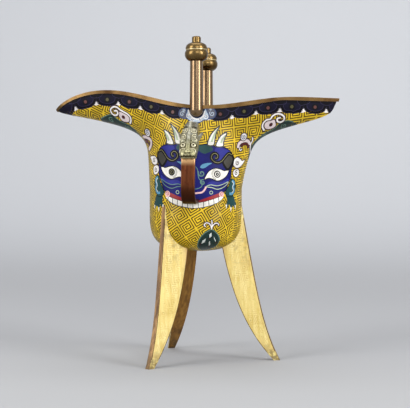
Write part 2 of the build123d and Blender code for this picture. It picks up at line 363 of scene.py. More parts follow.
fret_pitch = 7.25
fret_half = 2.98
fret_gap = 1.14
wire_width = 0.5
fret_rows = 16
fret_lift = 0.015
fret_top_depth = 5.2
keel_gap = 0.3
foot_gap = 9
cell_edge = 0.7
cell_grid = 1.0
cell_weld = 1e-5
mitre_least = 0.6


def divide(line, step):
    """The same line with points added, so that it can bend with the cup."""
    line = np.asarray(line, float)
    points = [line[:1]]
    for start, end in zip(line[:-1], line[1:]):
        parts = max(1, ceil(hypot(*(end - start)) / step))
        points.append(start + (end - start) * (np.arange(1, parts + 1) / parts)[:, None])
    return np.concatenate(points)


def flow(points, closed=True, steps=6):
    """A smooth curve through drawn points."""
    points = [np.asarray(point, float) for point in points]
    count = len(points)
    curve = []
    for k in range(count if closed else count - 1):
        if closed:
            a, b, c, d = (points[(k + shift) % count] for shift in (-1, 0, 1, 2))
        else:
            a, b, c, d = (points[min(max(k + shift, 0), count - 1)] for shift in (-1, 0, 1, 2))
        for share in np.arange(steps) / steps:
            bow = (2 * a - 5 * b + 4 * c - d) * share**2
            twist = (3 * b - a - 3 * c + d) * share**3
            curve.append(0.5 * (2 * b + (c - a) * share + bow + twist))
    if not closed:
        curve.append(points[-1])
    return np.array(curve)


def inside(points, outline):
    """Which points lie within an outline."""
    x, y = points[:, :1], points[:, 1:]
    start, end = outline, np.roll(outline, -1, axis=0)
    crosses = (start[:, 1] > y) != (end[:, 1] > y)
    rise = np.where(end[:, 1] == start[:, 1], 1e-9, end[:, 1] - start[:, 1])
    edge = start[:, 0] + (end[:, 0] - start[:, 0]) * (y - start[:, 1]) / rise
    return (crosses & (x < edge)).sum(1) % 2 == 1


class Inlay:
    """Cells or wires of one enamel or metal, drawn flat and laid on one or both sides of the cup."""

    def __init__(self, name, finish, slot="enamel", sides=(-1, 1), lay=lay_on_cup, step=0.9):
        self.name = name
        self.finish = finish
        self.slot = slot
        self.sides = sides
        self.lay = lay
        self.step = step
        self.drawn = []
        self.lifts = []
        self.faces = []

    def add(self, drawn, lifts, faces):
        first = len(self.lifts)
        self.drawn.extend(drawn)
        self.lifts.extend(lifts)
        self.faces.extend([tuple(first + corner for corner in face) for face in faces])

    def cell(self, outline, lift):
        """A flat cell within an outline."""
        outline = divide([*outline, outline[0]], cell_edge)[:-1]
        low, high = outline.min(0), outline.max(0)
        steps = [np.arange(low[i] + cell_grid / 2, high[i], cell_grid) for i in (0, 1)]
        grid = np.stack(np.meshgrid(*steps), -1).reshape(-1, 2)
        grid = grid[inside(grid, outline)] if len(grid) else grid
        points = [Vector(point) for point in (*outline, *grid)]
        ring = list(range(len(outline)))
        corners, _, faces = geometry.delaunay_2d_cdt(points, [], [ring], 1, cell_weld)[:3]
        self.add([tuple(corner) for corner in corners], [lift] * len(corners), faces)

    def wire(self, line, width, lift, closed=False, crown=0.0):
        """A strip of even width along a line, raised in its middle where it has a crown."""
        line = np.asarray(line, float)
        if closed:
            line = np.concatenate([line, line[:1]])
        line = divide(line, self.step)
        ahead = np.diff(line, axis=0)
        ahead /= np.maximum(np.linalg.norm(ahead, axis=1, keepdims=True), 1e-9)
        before = np.concatenate([ahead[-1:] if closed else ahead[:1], ahead])
        after = np.concatenate([ahead, ahead[:1] if closed else ahead[-1:]])
        normal = np.stack([-(before + after)[:, 1], (before + after)[:, 0]], 1)
        normal /= np.maximum(np.linalg.norm(normal, axis=1, keepdims=True), 1e-9)
        reach = np.abs(normal[:, 1] * after[:, 0] - normal[:, 0] * after[:, 1])
        normal /= np.maximum(reach, mitre_least)[:, None]
        rails = [line + normal * width / 2, line, line - normal * width / 2]
        lifts = [lift, lift + crown, lift]
        count = len(line)
        faces = []
        for rail in (0, 1):
            for k in range(count - 1):
                near = rail * count + k
                far = near + count
                faces.append((near, far, far + 1, near + 1))
        self.add(np.concatenate(rails), np.repeat(lifts, count), faces)

    def make(self):
        """Lays what was drawn on the cup as one piece."""
        points = []
        faces = []
        for side in self.sides:
            first = len(points)
            points.extend(self.lay(self.drawn, self.lifts, side))
            faces += [tuple(first + c for c in (face if side < 0 else face[::-1])) for face in self.faces]
        return piece(self.name, points, faces, self.finish)


def square_spiral(half, gap):
    """A square spiral from its outer corner to its middle."""
    line = []
    while half > gap / 3:
        line += [(-half, -half), (half, -half), (half, half), (-half, half), (-half, -half + gap)]
        half -= gap
    return np.array(line)


def fret_field(inlay, anchor, tilt, covers, pitch=fret_pitch, half=fret_half, gap=fret_gap, width=wire_width):
    """Lays tilted rows of spirals through an anchor point wherever the test says that the field is."""
    turned = np.array([[cos(tilt), -sin(tilt)], [sin(tilt), cos(tilt)]])
    spiral = square_spiral(half, gap)
    for row in range(-fret_rows, fret_rows + 1):
        for column in range(-fret_rows, fret_rows + 1):
            flip = np.array([1 if (row + column) % 2 else -1, 1 if row % 2 else -1])
            middle = (np.array([column, row]) + 0.5) * pitch
            line = divide((spiral * flip + middle) @ turned.T + anchor, inlay.step)
            shown = covers(line)
            start = None
            for k in range(len(line) + 1):
                if k < len(line) and shown[k]:
                    start = k if start is None else start
                elif start is not None:
                    if k - start > 1:
                        inlay.wire(line[start:k], width, fret_lift)
                    start = None


def on_wall(line):
    """Which points lie on the enamel, under the border and clear of the keels and the foot."""
    heights = line[:, 1]
    rows = np.clip(((heights - bowl_shoulder_z) / level_step).astype(int), 0, len(wall_levels) - 1)
    clear = line[:, 0] < wall_lengths[rows, 0] - keel_gap
    clear &= line[:, 0] > wall_lengths[rows, -1] + keel_gap
    clear &= heights < lip_at(line[:, 0]) - fret_top_depth
    return clear & (heights > pole_height + foot_gap)


mask_axis = 2.3
fret_skirt_half = 23.0
fret_skirt_top = 88.0


def under_mask(line):
    """Which points lie in the field below the mask's teeth."""
    return (np.abs(line[:, 0] - mask_axis) < fret_skirt_half) & (line[:, 1] < fret_skirt_top)


fret = Inlay("fret_wires", enamel("fret_brown", (74, 54, 12)))
for anchor, tilt, field in (
    ((0.0, 74.3), 31, under_mask),
    ((22.9, 119.9), 8, lambda line: ~under_mask(line) & (line[:, 0] > mask_axis)),
    ((-20.7, 120.4), -28, lambda line: ~under_mask(line) & (line[:, 0] <= mask_axis)),
):
    fret_field(fret, anchor, radians(tilt), lambda line: on_wall(line) & field(line))
fret.make()

# Rim border: dark blue enamel lappets that hang like scales from the lip, with round flowers in them.
# White points fill the notches between them, and each lappet is edged with a thin line.

lappet_pitch = 12.3
lappet_first = -58.4
lappet_depth = 8.1
notch_depth = 5.3
flower_depth = 4.9
border_top = 1.2
lappet_places = range(-1, 12)
side_rise = 0.6
arch_power = 0.8
inner_share = 0.72
inner_top = 2.7
inner_side = 4.0
inner_depth = 6.9
hem_share = 0.55
hem_top = 1.8
hem_depth = 3.8
point_half = 1.4
point_top = 5.2
point_side = 7.2
point_low = 7.6


def ring(middle, radius, count=20):
    """A circle on the unrolled cup."""
    turns = np.linspace(0, 2 * pi, count + 1)[:-1]
    return np.stack([middle[0] + radius * np.cos(turns), middle[1] + radius * np.sin(turns)], 1)


def under_lip(points):
    """Points given by length along the lip and depth below it."""
    points = np.asarray(points, float)
    return np.stack([points[:, 0], lip_at(points[:, 0]) - points[:, 1]], 1)


def arch(middle, half, top, depth, count=16):
    """A scale that hangs from a level below the lip: straight sides and a round lower end."""
    turns = np.linspace(0, pi, count + 1)
    return [(middle + half * cos(a), top + (depth - top) * sin(a) ** arch_power) for a in turns]


navy = Inlay("border_navy", enamel("navy_enamel", (14, 12, 20), 0.46, 0.09))
violet = Inlay("border_violet", enamel("violet_enamel", (21, 19, 38), 0.46, 0.09))
ink = Inlay("border_flower_rings", enamel("black_enamel", (13, 11, 18), 0.42, 0.12))
points_white = Inlay("border_points", enamel("white_enamel", (236, 230, 226)))
flower_inlays = [
    Inlay("border_flowers_rose", enamel("rose_enamel", (98, 58, 54))),
    Inlay("border_flowers_olive", enamel("olive_enamel", (80, 76, 46))),
]
border_wire = Inlay("border_wires", enamel("blue_grey_lines", (50, 46, 72), 0.46, 0.09))
for k in lappet_places:
    middle = lappet_first + k * lappet_pitch
    half = lappet_pitch / 2
    notch = middle + half
    scale = arch(middle, half, notch_depth - side_rise, lappet_depth)
    navy.cell(under_lip([(notch, border_top), *scale, (middle - half, border_top)]), 0.03)
    inner_half = half * inner_share
    inner = arch(middle, inner_half, inner_side, inner_depth)
    field = [(middle + inner_half, inner_top), *inner, (middle - inner_half, inner_top)]
    violet.cell(under_lip(field), 0.045)
    hem = arch(notch, half * hem_share, hem_top, hem_depth)
    for line, width in ((scale, 0.26), (inner, 0.26), (hem, 0.24)):
        border_wire.wire(under_lip(line), width, 0.06, crown=0.02)
    if k >= 0:
        flower = under_lip([(middle, flower_depth)])[0]
        ink.cell(ring(flower, 1.75), 0.06)
        flower_inlays[k % 2].cell(ring(flower, 0.85, 12), 0.075)
    sides = [(notch - point_half, point_side), (notch, point_top), (notch + point_half, point_side)]
    points_white.cell(under_lip([*sides, (notch, point_low)]), 0.065)
for inlay in (navy, violet, ink, points_white, border_wire, *flower_inlays):
    inlay.make()

# Mask: a horned monster's face in blue enamel, its eyes either side of the handle and its teeth below it.
# It is drawn for one half and mirrored, and the far side carries the same face.

mask_dip = 0.05
dip_from = 84
dip_over = 12
cell_lift = 0.055
line_lift = 0.07


def both_halves(points):
    """A half outline, drawn from top to bottom, with its mirror image."""
    return [*points, *[(-x, z) for x, z in reversed(points)]]


def on_mask(points, half=1):
    """Places points of the mask's own drawing on the unrolled cup. Brows and horns dip towards the tail."""
    placed = np.asarray(points, float) * np.array([half, 1])
    placed[:, 1] -= mask_dip * np.clip((placed[:, 1] - dip_from) / dip_over, 0, 1) * placed[:, 0]
    return placed + np.array([mask_axis, 0])


def spiral(middle, radius, turns, start, count=26):
    """A curl that winds in to its middle."""
    shares = np.linspace(0, 1, count)
    angles = start + turns * 2 * pi * shares
    reach = radius * (1 - 0.86 * shares)
    return np.stack([middle[0] + reach * np.cos(angles), middle[1] + reach * np.sin(angles)], 1)


def mask_cell(inlay, outline, half, lift=cell_lift, steps=4):
    """A cell of the mask within a smooth outline."""
    inlay.cell(on_mask(flow(outline, steps=steps), half), lift)


def mask_edge(inlay, outline, half, width, lift=line_lift):
    """A wire round a smooth outline of the mask."""
    inlay.wire(on_mask(flow(outline, steps=4), half), width, lift, closed=True)


def mask_line(inlay, line, half, width, lift=line_lift):
    """A smooth line of the mask."""
    inlay.wire(on_mask(flow(line, closed=False), half), width, lift)


cobalt = Inlay("mask_cobalt", enamel("cobalt_enamel", (20, 22, 98), 0.34, 0.14))
light_blue = Inlay("mask_violet_blue", enamel("violet_blue_enamel", (40, 44, 134), 0.34, 0.14))
teal = Inlay("mask_teal", enamel("teal_enamel", (26, 68, 68)))
sky = Inlay("mask_turquoise", enamel("turquoise_enamel", (92, 150, 184)))
black = Inlay("mask_black", enamel("mask_black_enamel", (14, 12, 14), 0.42, 0.12))
slate = Inlay("mask_slate", enamel("slate_enamel", (64, 61, 54)))
white = Inlay("mask_white", enamel("mask_white_enamel", (238, 234, 224)))
pale = Inlay("mask_pale_green", enamel("pale_green_enamel", (176, 192, 160)))
red = Inlay("mask_red", enamel("red_enamel", (144, 28, 36)))
pink = Inlay("mask_pink", enamel("pink_enamel", (228, 184, 182)))
ochre = Inlay("mask_ochre_lines", enamel("ochre_line_enamel", (138, 132, 86)))
fern = Inlay("mask_fern_curls", enamel("fern_enamel", (92, 128, 118)))
mask_inlays = [cobalt, light_blue, teal, sky, black, slate, white, pale, red, pink, ochre, fern]

face = [(0, 110.2), (2.8, 110.7), (5.6, 111.4), (8.5, 111.2), (10.5, 110.5), (12.5, 110.6),
        (15.5, 110.5), (18.2, 109.5)]
face += [(20.2, 108.0), (21.5, 105.2), (21.8, 102.6), (20.8, 100.0), (20.6, 97.5), (20.5, 95.2),
         (19.4, 93.3)]
face += [(18.0, 90.4), (16.8, 88.0), (15.0, 87.0), (13.0, 86.2), (10.0, 85.0), (6.9, 84.0), (3.9, 83.0),
         (0, 82.4)]
cobalt.cell(on_mask(flow(both_halves(face), steps=3)), 0.04)
black.wire(on_mask(flow(both_halves(face), steps=3)), 0.4, 0.05, closed=True)
nose = [(0, 100.4), (1.5, 98.6), (2.2, 94.4), (3.8, 92.2), (3.7, 90.2), (2.0, 89.0), (0, 88.6)]
fern.wire(on_mask(flow(both_halves(nose), steps=4)), 0.36, 0.065, closed=True)
lip_top = [(0, 82.5), (2.4, 83.0), (5.3, 84.0), (8.9, 85.3), (12.4, 86.6), (13.9, 87.0)]
lip_low = [(14.2, 85.2), (12.4, 84.5), (9.0, 83.4), (5.0, 82.3), (3.3, 82.0), (0, 81.7)]
red.cell(on_mask(both_halves([*lip_top, *lip_low])), 0.055)
black.wire(on_mask([(-x, z) for x, z in lip_low] + lip_low[::-1]), 0.2, 0.07)
gum = [(0, 81.7), (3.3, 82.0), (5.0, 82.3), (9.0, 83.4), (12.4, 84.5), (14.2, 85.2)]
bite = [(15.6, 84.4), (14.5, 83.2), (12.3, 81.8), (8.6, 80.4), (4.3, 79.4), (0, 79.0)]
white.cell(on_mask(both_halves([*gum, *bite])), 0.055)
for tooth in range(11):
    x = -13.9 + 2.65 * tooth
    top = np.interp(abs(x), [p[0] for p in gum], [p[1] for p in gum])
    low = np.interp(abs(x), [p[0] for p in bite[::-1]], [p[1] for p in bite[::-1]])
    black.wire(on_mask([(x, top - 0.1), (x * 1.02, low + 0.1)]), 0.3, 0.07)
black.wire(on_mask([(-x, z) for x, z in bite] + bite[::-1]), 0.3, 0.065)

for half in (-1, 1):
    lobe = [(10.6, 109.4), (12.6, 110.0), (15.3, 109.8), (18.5, 108.9), (20.1, 107.4), (18.3, 106.2),
            (16.1, 105.5)]
    lobe += [(14.8, 103.4), (12.7, 103.1), (12.3, 105.2), (10.6, 107.3)]
    mask_cell(light_blue, lobe, half)
    crown_patch = [(0.8, 110.0), (5.6, 111.0), (8.7, 110.2), (9.3, 108.5), (6.8, 107.2), (5.0, 106.6),
                   (2.6, 107.6)]
    mask_cell(teal, crown_patch, half)
    ear = [(16.9, 106.5), (18.7, 107.4), (20.8, 106.6), (21.7, 104.6), (20.7, 101.9), (18.3, 99.4),
           (16.3, 100.8)]
    ear += [(15.0, 103.0), (15.8, 105.0)]
    mask_cell(slate, ear, half, 0.06)
    mask_edge(black, ear, half, 1.2)
    brow = [(20.4, 107.0), (18.4, 107.5), (16.3, 105.6), (14.6, 103.6), (12.3, 102.5), (10.2, 102.9),
            (8.7, 104.5), (9.1, 106.4)]
    brow += [(10.7, 107.1), (12.0, 106.1), (11.7, 104.8), (10.6, 104.7)]
    mask_line(black, brow, half, 1.8, 0.075)
    mask_line(ochre, brow, half, 0.25, 0.1)
    eye = [(5.0, 93.6), (5.9, 95.8), (7.4, 98.0), (10.4, 99.6), (13.4, 99.4), (16.3, 98.7),
           (19.0, 99.8), (18.3, 97.3)]
    eye += [(16.6, 95.3), (14.1, 93.8), (11.8, 93.2), (9.4, 94.0), (7.2, 94.4)]
    mask_cell(white, eye, half, 0.06)
    mask_edge(black, eye, half, 0.42)
    pupil = (11.9, 96.7)
    glint, breadth = (white, 0.38) if half > 0 else (ochre, 0.2)
    black.cell(on_mask(ring(pupil, 1.85), half), 0.075)
    glint.wire(on_mask(ring(pupil, 1.08), half), breadth, 0.085, closed=True)
    glint.cell(on_mask(ring(pupil, 0.26, 10), half), 0.085)
    for reach in (2.5, 3.0):
        slate.wire(on_mask(ring(pupil, reach, 24)[7:18], half), 0.18, 0.07)
    under_eye = [(6.5, 91.6), (9.0, 92.9), (13.5, 92.6), (17.0, 93.9), (18.6, 95.0), (19.2, 93.6),
                 (17.6, 92.5)]
    under_eye += [(14.2, 91.2), (11.1, 90.4), (8.4, 90.8)]
    mask_cell(light_blue, under_eye, half, steps=3)
    cheek_line = pale if half > 0 else fern
    cheek = [(6.1, 90.0), (8.3, 91.0), (11.7, 90.6), (14.9, 91.4), (18.6, 93.0), (17.6, 91.4), (14.9, 89.6)]
    cheek += [(11.7, 88.8), (9.0, 89.6)]
    mask_edge(cheek_line, cheek, half, 0.38, 0.06)
    flame = [(2.9, 99.8), (3.9, 101.1), (6.0, 101.9), (8.9, 102.1), (7.0, 100.8), (5.4, 99.6), (3.9, 99.2)]
    mask_cell(sky, flame, half)
    fern.wire(on_mask(spiral((3.6, 96.7), 1.8, 1.3, 2.6), half), 0.6, 0.07)
    fern.wire(on_mask(spiral((4.3, 92.1), 1.5, 1.2, 1.2), half), 0.55, 0.07)
    frown = [(0.4, 86.5), (1.6, 86.7), (3.9, 87.1), (5.3, 88.6), (5.9, 90.0)]
    mask_line(pink, frown, half, 0.85)
    pale.wire(on_mask(ring((8.6, 87.0), 0.8, 12), half), 0.3, 0.06, closed=True)
    pink.cell(on_mask(ring((14.4, 86.1), 1.5), half), 0.075)
    red.wire(on_mask(spiral((14.4, 86.1), 1.1, 1.2, 0.4), half), 0.28, 0.085)
    long_horn = [(6.6, 111.1), (7.4, 114.6), (9.4, 118.0), (12.8, 121.0), (11.4, 118.0), (10.5, 114.7),
                 (9.8, 111.2)]
    short_horn = [(11.0, 110.7), (12.2, 114.2), (14.1, 116.7), (16.8, 117.9), (15.8, 115.0),
                  (15.1, 112.8), (14.9, 110.9)]
    for horn in (long_horn, short_horn):
        mask_cell(white, horn, half)
        rib = np.array(horn[1:4]) * 0.45 + np.array(horn[:3:-1]) * 0.55
        mask_line(pale, rib, half, 1.0, 0.065)
        mask_edge(slate, horn, half, 0.6, 0.075)
    limb = [(20.6, 94.4), (23.2, 94.3), (24.8, 91.2), (24.1, 87.8), (21.6, 85.1), (18.7, 84.9),
            (16.8, 86.4), (17.5, 88.7), (19.4, 91.4)]
    mask_cell(teal, limb, half)
    sinew = [(21.6, 93.8), (23.5, 92.6), (22.4, 90.4), (23.4, 88.6), (21.8, 86.6), (19.6, 86.6)]
    mask_line(sky, sinew, half, 1.25, 0.065)
    sheen = [(21.6, 93.3), (23.0, 92.0), (21.9, 90.2), (22.8, 88.4), (21.4, 87.0)]
    mask_line(white, sheen, half, 0.3, 0.08)
    mask_edge(black, limb, half, 0.3)
    hand = [(17.8, 85.4), (18.0, 82.4), (17.0, 80.4), (18.4, 79.4), (19.6, 80.9), (20.8, 78.4),
            (22.2, 80.3), (24.0, 79.0)]
    hand += [(25.2, 80.9), (24.0, 82.9), (22.6, 85.4)]
    mask_cell(teal, hand, half, 0.05)
    for x, z in ((17.4, 79.6), (20.6, 78.2), (24.4, 79.2)):
        white.cell(on_mask([(x - 0.5, z + 1.3), (x + 0.6, z + 1.2), (x + 0.1, z - 1.2)], half), 0.07)
for inlay in mask_inlays:
    inlay.make()

# Clouds and stems: white scrolled clouds about the mask and under both troughs, dark green along the keels.
# A pale cloud lies round each post's foot, and a green bud with a white plume lies between the legs below.

cloud_white = Inlay("cloud_white", enamel("cloud_white_enamel", (240, 235, 231)))
cloud_rose = Inlay("cloud_rose", enamel("cloud_rose_enamel", (224, 208, 208)))
cloud_line = Inlay("cloud_lines", enamel("cloud_line_enamel", (58, 30, 32)))
cloud_red = Inlay("cloud_dark_red", enamel("dark_red_enamel", (88, 28, 30)))
cloud_blue = Inlay("cloud_blue_lines", enamel("blue_line_enamel", (58, 76, 116)))
stem = Inlay("stem_green", enamel("dark_green_enamel", (24, 48, 44)))
leaf = Inlay("stem_leaves", enamel("leaf_green_enamel", (92, 122, 108)))
mist = Inlay("post_clouds", enamel("mist_enamel", (182, 196, 210)))
haze = Inlay("post_cloud_haze", enamel("haze_enamel", (98, 98, 112)))
# The bud's white glints are painted reflections of its gloss.
painted_bud_glints = Inlay("bud_glints", enamel("painted_glint_white", (214, 220, 214)))
cloud_edge = 0.45
body_rise = 0.012
edge_rise = 0.01


def fall(points):
    """Points given by true height, for the part of the bowl that curves under."""
    points = np.asarray(points, float)
    under = np.interp(points[:, 1], meridian_z[::-1], meridian_height[::-1])
    heights = np.where(points[:, 1] < bowl_shoulder_z, under, points[:, 1])
    return np.stack([points[:, 0], heights], 1)


def scroll(path, width, body=cloud_white, edge=cloud_line, lift=0.06):
    """A curled band of one enamel with a thin dark edge and round ends."""
    path = flow(path, closed=False)
    edge.wire(path, width + 2 * cloud_edge, lift)
    body.wire(path, width, lift + body_rise)
    for end in (path[0], path[-1]):
        edge.cell(ring(end, width / 2 + cloud_edge, 12), lift)
        body.cell(ring(end, width / 2, 12), lift + body_rise)


def puff(outline, body=cloud_white, edge=cloud_line, lift=0.045):
    """A closed patch of cloud with a thin dark edge."""
    outline = flow(outline, steps=4)
    body.cell(outline, lift)
    edge.wire(outline, cloud_edge, lift + edge_rise, closed=True)


def to_keel(upper, end):
    """The field between a drawn edge and the keel of the tail (0) or of the spout (-1)."""
    edge = flow(upper, closed=False)
    heights = np.linspace(edge[-1, 1], edge[0, 1], 24)[1:-1]
    keel = np.interp(heights, wall_levels, wall_lengths[:, end])
    return np.concatenate([edge, np.stack([keel, heights], 1)])


spout_stem = [(-54.2, 124.0), (-52.4, 125.5), (-49.6, 126.4), (-46.4, 127.2), (-44.6, 127.0),
              (-43.3, 125.5), (-41.8, 124.0)]
spout_stem += [(-39.3, 122.6), (-37.4, 121.6), (-36.0, 119.2), (-35.8, 115.6), (-36.4, 112.0),
               (-37.5, 109.4)]
tail_stem = [(57.6, 122.0), (54.5, 123.0), (51.4, 123.7), (48.5, 123.0), (46.8, 121.7), (46.0, 120.2),
             (44.0, 118.8), (42.0, 117.6)]
tail_stem += [(40.2, 115.8), (38.4, 113.2), (37.2, 110.4), (37.0, 107.0), (38.7, 103.6)]
for upper, end in ((spout_stem, -1), (tail_stem, 0)):
    stem.cell(to_keel(upper, end), 0.04)
    leaf.wire(flow(upper[1:-1], closed=False), 0.42, 0.05)
for middle, turn in (((-46.6, 124.6), 0.6), ((-39.6, 120.6), 2.2), ((50.2, 121.2), 2.6),
                     ((42.8, 115.6), 1.0)):
    leaf.wire(spiral(middle, 1.5, 1.2, turn), 0.42, 0.055)

puff([(-40.4, 128.6), (-37.6, 127.9), (-35.6, 126.6), (-35.0, 124.6), (-36.4, 123.2), (-38.6, 123.2),
      (-40.4, 124.0), (-41.0, 126.2)], cloud_rose)
scroll([(-36.2, 122.7), (-34.9, 123.9), (-34.5, 125.6), (-35.6, 127.2), (-37.4, 128.3), (-39.4, 129.5),
        (-41.0, 130.8)]
       + [(-43.0, 131.0), (-44.8, 129.6), (-44.4, 127.6), (-42.8, 126.8), (-41.2, 127.6),
          (-41.4, 129.0), (-42.7, 129.0)], 0.8)
puff([(39.8, 120.0), (39.2, 121.8), (40.2, 123.2), (42.2, 123.7), (44.0, 124.2), (45.0, 122.8),
      (45.8, 121.0), (44.4, 119.7), (42.0, 119.2)], cloud_rose)
scroll([(40.2, 118.9), (38.6, 120.4), (38.5, 122.2), (39.8, 123.8), (41.8, 124.3), (42.6, 125.7),
        (44.4, 126.8), (46.6, 126.8)]
       + [(48.6, 125.7), (49.0, 124.0), (47.6, 122.9), (45.8, 123.3), (45.4, 124.6), (46.8, 125.0)], 0.8)
for eye in ((-38.6, 125.8), (42.8, 121.6)):
    cloud_line.cell(ring(eye, 0.95, 14), 0.075)
    cloud_red.cell(ring(eye, 0.4, 10), 0.085)

scroll([(26.5, 110.2), (26.9, 111.7), (28.4, 112.8), (30.6, 113.4), (32.8, 113.2),
        (34.6, 112.0)], 1.5, cloud_rose)
scroll([(28.8, 110.8), (30.6, 111.9), (33.0, 111.6), (34.3, 110.2)], 0.8, cloud_red)
scroll([(35.2, 115.0), (36.0, 113.4), (35.6, 111.4), (36.9, 109.2), (38.4, 107.6)], 0.75)
scroll([(27.9, 110.0), (27.6, 109.0), (28.4, 108.4), (29.3, 108.9)], 0.55)
scroll([(-32.4, 115.6), (-30.0, 115.6), (-27.0, 114.8), (-25.1, 113.5), (-25.1, 112.0), (-26.3, 110.4),
        (-28.4, 109.2)], 1.7, cloud_rose)
scroll([(-32.4, 113.4), (-30.6, 113.5), (-28.8, 112.8), (-28.0, 111.6)], 1.1, cloud_red)
for knob, winding in (((29.3, 115.2), 2.4), ((-26.7, 117.6), 0.7)):
    puff(ring(knob, 2.0, 14), lift=0.08)
    cloud_blue.wire(spiral(knob, 1.35, 1.4, winding), 0.42, 0.095)
puff([(24.2, 103.4), (26.4, 104.9), (29.0, 104.3), (31.0, 103.2), (33.6, 103.9), (32.0, 101.4),
      (29.0, 99.6), (26.0, 99.4), (24.0, 101.0)])
puff([(24.8, 98.3), (26.8, 99.0), (28.8, 98.5), (29.4, 96.8), (28.8, 95.4), (26.8, 94.6), (24.9, 95.4),
      (24.2, 97.0)])
puff([(-27.4, 105.3), (-24.0, 105.7), (-21.2, 105.3), (-19.5, 103.2), (-19.8, 101.6), (-21.8, 100.9),
      (-24.4, 101.7), (-25.6, 103.2)])
puff([(-22.6, 100.4), (-20.2, 101.0), (-18.3, 100.0), (-18.2, 98.2), (-19.6, 96.5), (-22.4, 96.0),
      (-23.6, 97.6), (-23.5, 99.2)])
for middle, turn in (((27.2, 102.0), 2.4), ((26.9, 96.8), 1.0), ((-22.6, 103.3), 0.6),
                     ((-20.8, 98.5), 2.0)):
    cloud_line.wire(spiral(middle, 1.35, 1.3, turn), 0.42, 0.06)

collar = [(-1.6, 127.4), (-2.2, 125.4), (-1.2, 123.7), (0.6, 122.4), (3.0, 121.9), (5.4, 122.3),
          (7.0, 123.3), (8.2, 123.2)]
collar += [(9.4, 124.2), (9.4, 126.0), (8.6, 127.4), (8.0, 129.0), (7.2, 128.2), (6.8, 126.2),
           (5.0, 124.5), (2.6, 124.2)]
collar += [(0.6, 125.2), (-0.5, 127.2), (-1.0, 128.8)]
haze_left = [(-2.0, 128.6), (-3.6, 129.2), (-5.4, 128.0), (-5.8, 126.2), (-5.0, 124.8), (-3.2, 124.0),
             (-1.6, 124.6)]
haze_right = [(8.6, 128.6), (10.4, 129.4), (12.4, 128.4), (13.2, 126.6), (12.4, 124.8), (10.6, 123.9),
              (8.8, 124.4)]
for outline, curls in (
    (haze_left, (((-4.0, 126.3), 1.3, 0.5), ((-3.0, 128.2), 0.7, 2.2))),
    (haze_right, (((11.2, 126.6), 1.4, 2.4), ((10.4, 128.6), 0.6, 0.8))),
):
    puff(outline, haze, cloud_blue, 0.08)
    for middle, radius, turn in curls:
        mist.wire(spiral(middle, radius, 1.2, turn), 0.4, 0.095)
puff(collar, mist, cloud_blue, 0.1)
for middle, radius, turn in (((-1.1, 125.2), 0.9, 0.5), ((1.3, 123.5), 0.9, 2.0),
                             ((5.2, 123.4), 0.9, 1.2), ((8.1, 125.1), 1.2, 2.6)):
    cloud_white.wire(spiral(middle, radius, 1.2, turn), 0.5, 0.115)
    cloud_blue.wire(spiral(middle, radius * 0.8, 1.0, turn + 0.6), 0.22, 0.125)
collar_light = [(-0.9, 128.4), (-0.2, 126.2), (1.4, 124.4), (3.2, 123.7), (5.0, 124.0), (6.6, 125.4),
                (7.4, 127.8)]
cloud_white.wire(flow(collar_light, closed=False), 0.6, 0.115)

bud = [(11.2, 68.4), (9.4, 67.6), (7.4, 66.4), (5.6, 64.4), (4.4, 61.8), (4.6, 59.4), (7.2, 57.9),
       (10.4, 57.6), (14.2, 57.9)]
bud += [(17.2, 59.4), (17.6, 62.0), (16.0, 65.0), (13.4, 67.2)]
stem.cell(fall(flow(bud, steps=4)), 0.05)
leaf.wire(fall(flow(bud, steps=4)), 0.5, 0.06, closed=True)
# Painted highlights: the white glints laid on the bud, each with a small dark dot beside it.
for x, z, lean in ((7.6, 62.4, 1.1), (11.0, 65.4, 0.3), (14.2, 63.2, -1.1), (11.6, 61.2, -0.4)):
    painted_bud_glints.cell(fall([(x - lean, z - 1.3), (x + 0.7, z - 0.4), (x + lean, z + 1.5),
                         (x - 0.7, z + 0.4)]), 0.065)
    cloud_line.cell(fall(ring((x - 1.5 * lean, z - 1.6), 0.5, 8)), 0.065)
for stroke in (
    [(11.2, 68.6), (10.9, 70.0), (9.8, 71.4), (8.3, 71.7), (7.3, 70.8), (7.9, 69.9)],
    [(11.2, 68.6), (11.8, 70.2), (13.0, 71.4), (14.5, 71.4), (15.2, 70.5)],
    [(11.2, 68.6), (11.4, 70.8), (11.2, 73.0)],
):
    scroll(fall(stroke), 0.5)
for inlay in (cloud_white, cloud_rose, cloud_line, cloud_red, cloud_blue, stem, leaf, haze, mist, painted_bud_glints):
    inlay.make()

# Rim band: a strip of bronze bent round the lip and brazed to it, over the edges of cup and enamel.
# Hands and cloths have rubbed its gilding down to brown bronze in patches.

dress("rim_band", worn_metal("rubbed_rim", (120, 94, 58), (76, 52, 30), 0.46, 0.32))

# Legs: three cast blades, a narrow spine outside and a wide back towards the axis, brazed to the bowl.
# Their two broad faces are gilded over an engraved fret between border lines; spine and back are left brown.

leg_top = 80.5
leg_kick = 5.7
leg_shift = 1.7
leg_spine = 2.4
leg_depth = 13.6
leg_width = 13.5
foot_reach = 42.3
foot_depth = 3.0
foot_width = 4.0
engraved_low = 4
engraved_gap = 5
edge_low = 4.5
edge_gap = 5.5
edge_step = 1.5
face_reach = 0.00025
cut_lift = 0.03
leg_seats = {"leg_tail": (0, 0), "leg_back": (120, 120), "leg_front": (235, 240)}
leg_fret = {"pitch": 5.4, "half": 2.25, "gap": 0.9, "width": 0.22}


